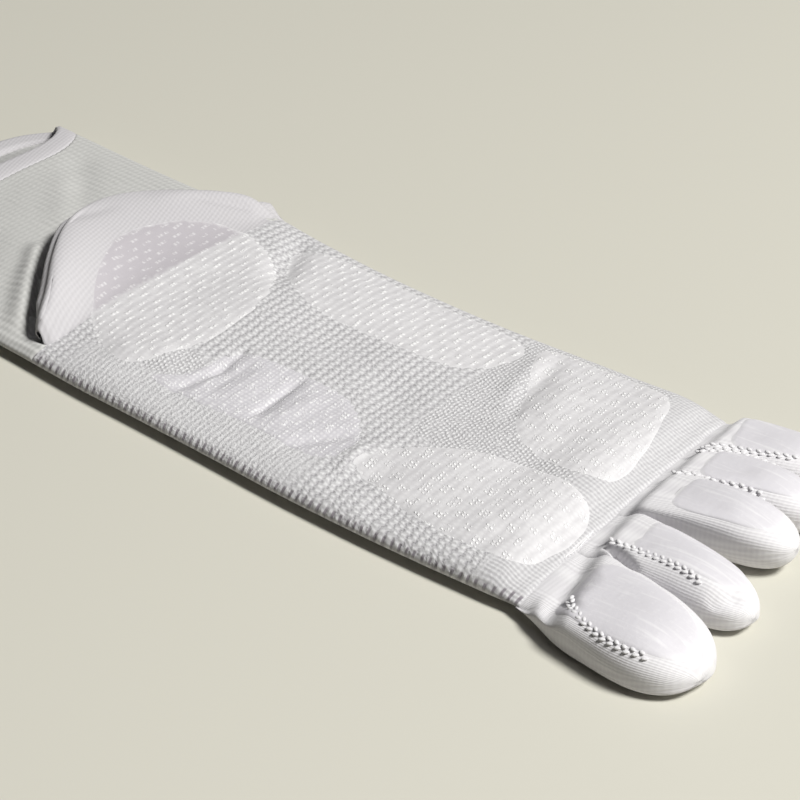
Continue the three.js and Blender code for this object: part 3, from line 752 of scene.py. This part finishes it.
films = {}
shares = np.concatenate([np.linspace(0.04, 0.88, FILM_RINGS - 6), [0.91, 0.94, 0.96, 0.98, 0.99, 1.0]])
rim = 1 - smooth_step(shares, 0.86, 1.0)
for name, corners in SOLE_FILMS.items():
    outline = closed_curve(corners, FILM_ROUND)
    centre = outline.mean(axis=0)
    turn = np.linspace(0, 2 * np.pi, FILM_ROUND, endpoint=False)
    wobble = 1 + 0.006 * np.sin(9 * turn + len(name)) + 0.004 * np.sin(17 * turn + 2 * len(name))
    flat = centre + FILM_SPREAD * shares[:, None, None] * wobble[:, None] * (outline - centre)
    x, y = flat[..., 0], flat[..., 1]
    ground = sole_height(x, y)
    top = ground + (FILM_THICK + FILM_SINK) * rim[:, None] - FILM_SINK
    bottom = (ground - 0.25)[::-1]
    rings = np.concatenate([np.stack([x, y, top], -1), np.stack([x[::-1], y[::-1], bottom], -1)])
    mesh_under = smooth_step(x, HEEL_LINE - 0.4, HEEL_LINE + 0.4)
    under = np.concatenate([mesh_under, mesh_under[::-1]])
    shares_of = {"waffle": under, "rows": under * HATCHED.get(name, 0)}
    faded = np.broadcast_to(np.concatenate([1 - rim, 1 - rim[::-1]])[:, None], under.shape)
    films[name] = shell(f"film_{name}", rings, rings, shares_of, poles=True, mark=faded)

# %% Films on the toes
turn = np.linspace(0, 2 * np.pi, 90, endpoint=False)[None, :]
toe_shares = np.concatenate([np.linspace(0.05, 0.92, 16), [0.955, 0.98, 0.993, 1.0]])[:, None]
toe_rim = 1 - smooth_step(toe_shares, 0.85, 1.0)
for toe, (start, stop, middle_angle, half_arc) in TOE_FILM_ARC.items():
    c, d = FILM_SPREAD * np.cos(turn), FILM_SPREAD * np.sin(turn)
    along = start + (stop - start) * (0.5 + 0.5 * toe_shares * np.sign(c) * np.abs(c) ** 0.8)
    around = middle_angle + half_arc * toe_shares * np.sign(d) * np.abs(d) ** 0.8
    layers = []
    for height in ((FILM_THICK + FILM_SINK) * toe_rim - FILM_SINK, -0.25 + 0 * toe_rim):
        base = toe_point(toe, along, around)
        away = toe_point(toe, along, around, 1.0) - base
        layers.append(base + away * height[..., None])
    rings = np.concatenate([layers[0], layers[1][::-1]])
    faded = np.broadcast_to(np.concatenate([1 - toe_rim, 1 - toe_rim[::-1]]), rings.shape[:2])
    all_smooth = {"band": np.ones(rings.shape[:2])}
    films[f"toe_{toe}"] = shell(f"film_toe_{toe}", rings, rings, all_smooth, poles=True, mark=faded)

# %% [markdown]
# ## Materials
# The yarn is white cotton with a little elastane: matt, with a faint sheen from its loose fibres. The knit is
# drawn from real stitch sizes in millimetres, read from the place on the cloth that each shell carries, so it
# follows the cloth. Height drives a bump, and the gaps between stitches are darker, as less light leaves them.

# %% Colour and node helpers
def linear(code):
    """An sRGB hex colour as linear RGBA."""
    channels = [int(code[i : i + 2], 16) / 255 for i in (0, 2, 4)]
    return [c / 12.92 if c <= 0.04045 else ((c + 0.055) / 1.055) ** 2.4 for c in channels] + [1.0]


def add(tree, kind, *values, sockets=None, out=0, **settings):
    """Adds one node. Values and sockets are numbers, colours or the outputs that feed it."""
    made = tree.nodes.new("ShaderNode" + kind)
    for key, value in settings.items():
        setattr(made, key, value)
    for key, value in [*enumerate(values), *(sockets or {}).items()]:
        if isinstance(value, bpy.types.NodeSocket):
            tree.links.new(value, made.inputs[key])
        else:
            made.inputs[key].default_value = value
    return made.outputs[out] if len(made.outputs) else made


def new_material(name):
    material = bpy.data.materials.new(name)
    material.use_nodes = True
    material.node_tree.nodes.clear()
    return material, material.node_tree


# %% Pattern helpers, in millimetres of cloth
def ripple(tree, place, pitch):
    """A wave from 0 to 1 that repeats every pitch millimetres."""
    turned = add(tree, "Math", place, 2 * math.pi / pitch, operation="MULTIPLY")
    return add(tree, "Math", add(tree, "Math", turned, operation="COSINE"), 0.5, 0.5, operation="MULTIPLY_ADD")


def edge(tree, value, low, high):
    """0 below low and 1 above high, with a soft step between."""
    return add(tree, "MapRange", value, low, high, interpolation_type="SMOOTHSTEP")


def product(tree, first, *others):
    for other in others:
        first = add(tree, "Math", first, other, operation="MULTIPLY")
    return first


def blend(tree, first, share, second, rest):
    """first * share + second * rest"""
    return add(tree, "Math", first, share, product(tree, second, rest), operation="MULTIPLY_ADD")


def stored(tree, name, out=1):
    """What a shell keeps at its points: a place or weights as out 1, one number as out 2."""
    return add(tree, "Attribute", attribute_name=name, out=out)


def cloth_noise(tree, size, detail=2.0, seed=0.0):
    """Soft noise whose blots are about size millimetres."""
    place = add(tree, "VectorMath", stored(tree, "cloth_mm"), (seed, seed, seed), operation="ADD")
    return add(tree, "TexNoise", place, sockets={"Scale": 1 / size, "Detail": detail, "Roughness": 0.55})


def cloth_coordinates(tree, wander=0.3):
    """Along and across the cloth, each moved a little, because no knit is quite regular."""
    split = add(tree, "SeparateXYZ", stored(tree, "cloth_mm")).node.outputs
    moved = []
    for i in range(2):
        sway = add(tree, "Math", cloth_noise(tree, 7.0, 1.0, 31.0 * (i + 1)), 0.5, operation="SUBTRACT")
        moved.append(add(tree, "Math", sway, 4 * wander, split[i], operation="MULTIPLY_ADD"))
    return moved


def zone_shares(tree):
    return add(tree, "SeparateXYZ", stored(tree, "zone")).node.outputs


def numbered(tree, place, pitch):
    """Which row a place is in."""
    return add(tree, "Math", add(tree, "Math", place, 1 / pitch, operation="MULTIPLY"), operation="ROUND")


def finish_knit(tree, height, base, gap, depth_mm, dark=None, sheen=0.2):
    """Colour, bump and sheen from a knit's height, 0 in the gaps and 1 on the stitches."""
    shade = blend(tree, height, 0.8, cloth_noise(tree, 0.8, 3.0, 7.0), 0.4)
    colour = add(tree, "Mix", out=2, data_type="RGBA", sockets={0: shade, 6: linear(gap), 7: linear(base)})
    # Painted shade: where dark is given, the colour goes over to a dark grey.
    if dark is not None:
        colour = add(tree, "Mix", out=2, data_type="RGBA", sockets={0: dark, 6: colour, 7: linear("8a858b")})
    bump = add(tree, "Bump", sockets={"Strength": 1.0, "Distance": depth_mm * MM, "Height": shade})
    bsdf = add(tree, "BsdfPrincipled", sockets={
        "Base Color": colour, "Roughness": 0.9, "Normal": bump, "Sheen Weight": sheen, "Sheen Roughness": 0.5,
        "Specular IOR Level": 0.2})
    add(tree, "OutputMaterial", bsdf)


# %% [markdown]
# ### Cotton knits of the foot
# The waffle has braided rows, 2.45 mm apart, of beads 1.3 mm apart; each row is set off by half a bead against
# the next, and between the rows the mesh is open and painted dark there: painted shade, for the shaded cloth
# that shows through. The plain knit is a fine seed, the inner side has soft courses 1.7 mm apart, and before
# the toes the stitches run lengthwise.

# %% Foot knit
BEAD_PITCH = 1.3
foot_material, tree = new_material("cotton_waffle_knit")
cx, cy = cloth_coordinates(tree, 0.45)
skewed = add(tree, "Math", cy, 0.06, cx, operation="MULTIPLY_ADD")
staggered = add(tree, "Math", numbered(tree, skewed, WAFFLE_PITCH), BEAD_PITCH / 2, cy, operation="MULTIPLY_ADD")
zigzag = add(tree, "Math", ripple(tree, staggered, 2 * BEAD_PITCH), 0.55, skewed, operation="MULTIPLY_ADD")
row = ripple(tree, add(tree, "Math", zigzag, -0.27, operation="ADD"), WAFFLE_PITCH)
beads = product(tree, edge(tree, row, 0.25, 0.9), ripple(tree, staggered, BEAD_PITCH))
gap = add(tree, "Math", 1.0, edge(tree, row, 0.0, 0.3), operation="SUBTRACT")
# Painted shade: between the rows the open mesh is darkened, for the shaded cloth seen through it.
open_mesh_shade = product(tree, gap, edge(tree, ripple(tree, staggered, BEAD_PITCH), 0.05, 0.6),
                    edge(tree, cloth_noise(tree, 1.5, 1.0, 23.0), 0.25, 0.55))
waffle = add(tree, "Math", blend(tree, beads, 0.48, open_mesh_shade, -0.38), 0.3, operation="ADD")
seed_row = add(tree, "Math", numbered(tree, cx, 1.15), 0.6, cy, operation="MULTIPLY_ADD")
seed = product(tree, ripple(tree, cx, 1.15), ripple(tree, seed_row, 1.25))
specks = edge(tree, cloth_noise(tree, 0.6, 2.0, 17.0), 0.3, 0.7)
plain = blend(tree, seed, 0.75, specks, 0.45)
grainy = edge(tree, cloth_noise(tree, 0.6, 2.0, 3.0), 0.3, 0.7)
spongy = add(tree, "Math", blend(tree, ripple(tree, cx, 1.7), 0.34, grainy, 0.42), 0.08, operation="ADD")
lengthwise = blend(tree, ripple(tree, cy, 1.1), 0.35, ripple(tree, cx, 1.2), 0.15)
lengthwise = add(tree, "Math", lengthwise, 0.05, operation="ADD")
height = plain
for weight, pattern in zip(zone_shares(tree), (waffle, spongy, lengthwise)):
    height = add(tree, "Mix", out=0, data_type="FLOAT", sockets={0: weight, 2: height, 3: pattern})
# Painted shade: the windows between the stretched stitches along the near fold are darkened.
between = add(tree, "Math", 1.0, edge(tree, ripple(tree, cx, RUNG_PITCH), 0.1, 0.45), operation="SUBTRACT")
painted_shade_in_windows = product(tree, between, stored(tree, "mark", 2))
finish_knit(tree, height, "e6e6e7", "a2a0a4", 0.3, dark=painted_shade_in_windows)

# %% [markdown]
# ### Leg, heel and toe knits
# The leg has raised ribs in the mesh, and the material adds stitches along them; its colour is greyer than the
# foot's. Heel and toes are a fine close plain knit. On the toes its courses run round the pad.

# %% Rib, plain and toe knits
rib_material, tree = new_material("cotton_rib_knit")
cx, cy = cloth_coordinates(tree)
height = blend(tree, ripple(tree, cx, 1.5), 0.35, ripple(tree, cy, 2.2), 0.65)
finish_knit(tree, height, "c8c8c6", "b1b1af", 0.14)

plain_material, tree = new_material("cotton_plain_knit")
cx, cy = cloth_coordinates(tree, 0.15)
slanted = add(tree, "Math", cy, 0.35, cx, operation="MULTIPLY_ADD")
height = blend(tree, ripple(tree, slanted, 1.1), 0.5, ripple(tree, cy, 1.3), 0.3)
finish_knit(tree, height, "c9c7ca", "bab8bb", 0.08)

toe_material, tree = new_material("cotton_toe_knit")
cx, cy = cloth_coordinates(tree, 0.15)
height = blend(tree, ripple(tree, cx, 1.15), 0.65, ripple(tree, cy, 1.2), 0.25)
finish_knit(tree, height, "e6e5e7", "d2d0d4", 0.08)

link_material, tree = new_material("cotton_link_yarn")
finish_knit(tree, cloth_noise(tree, 0.6), "e4e3e5", "d0cfd2", 0.05)

# %% [markdown]
# ### Silicone film
# The film is soft, clear and about 0.2 mm thick, so the waffle below shows through it faintly. Only where a
# stitch is pressed into the film does it shine white: in short dashes across the sock, set like bricks, and
# as small hatches over the ball. On the toes it is smooth, with faint streaks along the toe.

# %% Film
FILM_ROW = 2.4  # rows of stitches under a film
film_material, tree = new_material("silicone_grip_film")
cx, cy = cloth_coordinates(tree)
skewed = add(tree, "Math", cy, 0.06, cx, operation="MULTIPLY_ADD")


def bricks(tree, row_pitch, dash_pitch, low, high):
    """Dashes across the sock in rows, each of its own length, set off by half a pitch in every other row."""
    row = numbered(tree, skewed, row_pitch)
    shifted = add(tree, "Math", row, 0.5 * dash_pitch, cy, operation="MULTIPLY_ADD")
    cell = add(tree, "CombineXYZ", row, numbered(tree, shifted, dash_pitch), row_pitch)
    chance = add(tree, "TexWhiteNoise", cell, noise_dimensions="3D")
    start = add(tree, "MapRange", chance, 0.0, 1.0, 0.65, 0.05)
    stop = add(tree, "Math", start, 0.25, operation="ADD")
    dash = edge(tree, ripple(tree, shifted, dash_pitch), start, stop)
    return product(tree, dash, edge(tree, ripple(tree, skewed, row_pitch), low, high))


on_mesh, hatched, smooth = zone_shares(tree)
stitch = add(tree, "Math", ripple(tree, cy, 1.2), 0.75, 0.2, operation="MULTIPLY_ADD")
dashes = product(tree, bricks(tree, FILM_ROW, 5.6, 0.45, 0.9), stitch)
tick_place = add(tree, "Math", cx, 0.25, cy, operation="MULTIPLY_ADD")
tick_rows = edge(tree, ripple(tree, add(tree, "Math", cy, 0.3, cx, operation="MULTIPLY_ADD"), 1.25), 0.15, 0.7)
ticks = product(tree, bricks(tree, 4.3, 5.4, 0.1, 0.5), edge(tree, ripple(tree, tick_place, 1.05), 0.25, 0.75),
                tick_rows)
glint = add(tree, "Mix", out=0, data_type="FLOAT", sockets={0: hatched, 2: dashes, 3: ticks})
showing = product(tree, add(tree, "Math", on_mesh, 0.6, 0.4, operation="MULTIPLY_ADD"),
                  add(tree, "Math", smooth, -0.75, 1.0, operation="MULTIPLY_ADD"))
glint = product(tree, glint, showing, edge(tree, cloth_noise(tree, 1.3, 2.5, 11.0), 0.38, 0.55))
streak_place = add(tree, "VectorMath", stored(tree, "cloth_mm"), (0.08, 0.9, 0.2), operation="MULTIPLY")
streaks = product(tree, edge(tree, add(tree, "TexNoise", streak_place, sockets={"Scale": 1.0, "Detail": 3.0}), 0.5,
                             0.75), smooth, 0.3)
half_row = add(tree, "Math", numbered(tree, skewed, FILM_ROW), BEAD_PITCH / 2, cy, operation="MULTIPLY_ADD")
beads_below = add(tree, "Math", ripple(tree, half_row, BEAD_PITCH), 0.5, 0.5, operation="MULTIPLY_ADD")
seen_through = edge(tree, cloth_noise(tree, 3.0, 2.0, 53.0), 0.3, 0.65)
# Painted shade: the open gaps between the waffle's rows under the film are darkened.
not_beads = add(tree, "Math", 1.0, product(tree, ripple(tree, skewed, FILM_ROW), beads_below), operation="SUBTRACT")
rows_below = product(tree, not_beads, on_mesh, add(tree, "Math", seen_through, 0.22, 0.1, operation="MULTIPLY_ADD"))
ground = add(tree, "Mix", out=2, data_type="RGBA", sockets={0: on_mesh, 6: linear("bab6bb"), 7: linear("dad9db")})
ground = add(tree, "Mix", out=2, data_type="RGBA", sockets={0: smooth, 6: ground, 7: linear("d5d3d8")})
ground = add(tree, "Mix", out=2, data_type="RGBA", sockets={0: rows_below, 6: ground, 7: linear("a5a2a6")})
uneven = add(tree, "Math", cloth_noise(tree, 2.5, 2.0, 41.0), stored(tree, "mark", 2), operation="ADD")
ground = add(tree, "Mix", out=2, data_type="RGBA", sockets={0: edge(tree, uneven, 0.6, 1.4), 6: ground,
                                                            7: linear("dcdbdd")})
# On the inner arch the film gets fine specks of the knit below, and a greyer lilac ground that is painted shade.
inner_arch_specks_and_shade = product(tree, hatched, add(tree, "Math", 1.0, hatched, operation="SUBTRACT"), 4.0)
fine = product(tree, ripple(tree, cx, 1.1), ripple(tree, cy, 1.2), inner_arch_specks_and_shade, 0.35)
ground = add(tree, "Mix", out=2, data_type="RGBA", sockets={0: inner_arch_specks_and_shade, 6: ground, 7: linear("c8c6cb")})
lit = add(tree, "Math", add(tree, "Math", glint, streaks, operation="MAXIMUM"), fine, operation="ADD")
colour = add(tree, "Mix", out=2, data_type="RGBA", sockets={0: lit, 6: ground, 7: linear("f8f8f8")})
relief = blend(tree, glint, 1.0, cloth_noise(tree, 1.6, 3.0, 5.0), 0.5)
relief = blend(tree, not_beads, product(tree, on_mesh, -0.28), relief, 1.0)
bump = add(tree, "Bump", sockets={"Strength": 1.0, "Distance": 0.14 * MM, "Height": relief})
bsdf = add(tree, "BsdfPrincipled", sockets={
    "Base Color": colour, "Roughness": 0.48, "Normal": bump, "IOR": 1.41, "Specular IOR Level": 0.4})
add(tree, "OutputMaterial", bsdf)
print("materials:", [m.name for m in bpy.data.materials])

# %% [markdown]
# ## Dressing
# Every piece takes its finish, hides the solid it stands for where it has one, and rides on the one body.

# %% Finish and frame
def dress(piece, material, node):
    piece.data.materials.append(material)
    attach(piece, "root")
    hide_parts(node)


dress(foot, foot_material, "foot")
dress(leg, rib_material, "leg")
dress(welt, plain_material, "welt")
dress(heel, plain_material, "heel")
for toe, piece in toes.items():
    dress(piece, toe_material, f"toe_{toe}")
for piece in links.values():
    piece.data.materials.append(link_material)
    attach(piece, "root")
FILM_NODES = {"heel": "heel_film", "arch_outer": "arch_film_outer", "arch_inner": "arch_film_inner",
              "ball_outer": "ball_film_outer", "ball_inner": "ball_film_inner"}
for name, piece in films.items():
    dress(piece, film_material, FILM_NODES.get(name, f"{name}_film"))

# %% [markdown]
# ## Floor, light and camera
# A pale table, one large soft lamp high on the toes' side and a little light from above and all round. The lamp
# stands to the far side, which leaves a dark line under the near edge, where the cloth stands off the table.

# %% Stage
bpy.ops.mesh.primitive_plane_add(size=4.0, location=(0, 0, 0))
floor = bpy.context.object
floor.name = "floor"
floor_material, tree = new_material("painted_table")
grain = add(tree, "TexNoise", add(tree, "TexCoord", out=3), sockets={"Scale": 2.2, "Detail": 2.0})
tone = add(tree, "Mix", out=2, data_type="RGBA", sockets={0: grain, 6: linear("cbc9be"), 7: linear("cfcdc2")})
add(tree, "OutputMaterial", add(tree, "BsdfPrincipled", sockets={"Base Color": tone, "Roughness": 0.6}))
floor.data.materials.append(floor_material)

world = bpy.data.worlds.new("soft_room")
bpy.context.scene.world = world
world.use_nodes = True
world.node_tree.nodes["Background"].inputs["Color"].default_value = (0.95, 0.94, 1.0, 1.0)
world.node_tree.nodes["Background"].inputs["Strength"].default_value = 0.02

LAMPS = (  # name, size in m, power in W, colour, place, aimed at
    ("window", 0.75, 82.0, (1.0, 0.99, 0.96), (1.45, 0.5, 1.9), (0.03, 0.0, 0.0)),
    ("ceiling", 0.8, 1.5, (0.96, 0.95, 1.0), (-0.05, 0.0, 1.8), (-0.05, 0.0, 0.0)),
)
for name, size, power, colour, place, aim in LAMPS:
    light = bpy.data.lights.new(name, "AREA")
    light.shape = "DISK"
    light.size = size
    light.energy = power
    light.color = colour
    lamp = bpy.data.objects.new(name, light)
    lamp.location = place
    lamp.rotation_euler = (Vector(aim) - lamp.location).to_track_quat("-Z", "Y").to_euler()
    bpy.context.scene.collection.objects.link(lamp)
bpy.context.scene.view_settings.view_transform = "Standard"

# %% Camera
ELEVATION, AROUND, DISTANCE = math.radians(32.5), math.radians(41.5), 0.82
target = Vector(((20 + SHIFT[0]) * MM, (4 + SHIFT[1]) * MM, 0.0))
camera_data = bpy.data.cameras.new("camera")
camera_data.sensor_width = 36.0
camera_data.lens = 4.12 * 820.0 / 800.0 * 36.0
camera_data.clip_start = 0.01
camera = bpy.data.objects.new("camera", camera_data)
level = math.cos(ELEVATION)
away = Vector((math.sin(AROUND) * level, -math.cos(AROUND) * level, math.sin(ELEVATION)))
camera.location = target + away * DISTANCE
camera.rotation_euler = (-away).to_track_quat("-Z", "Y").to_euler()
bpy.context.scene.collection.objects.link(camera)
bpy.context.scene.camera = camera
print("lens", round(camera_data.lens, 1), "camera at", [round(c, 3) for c in camera.location])
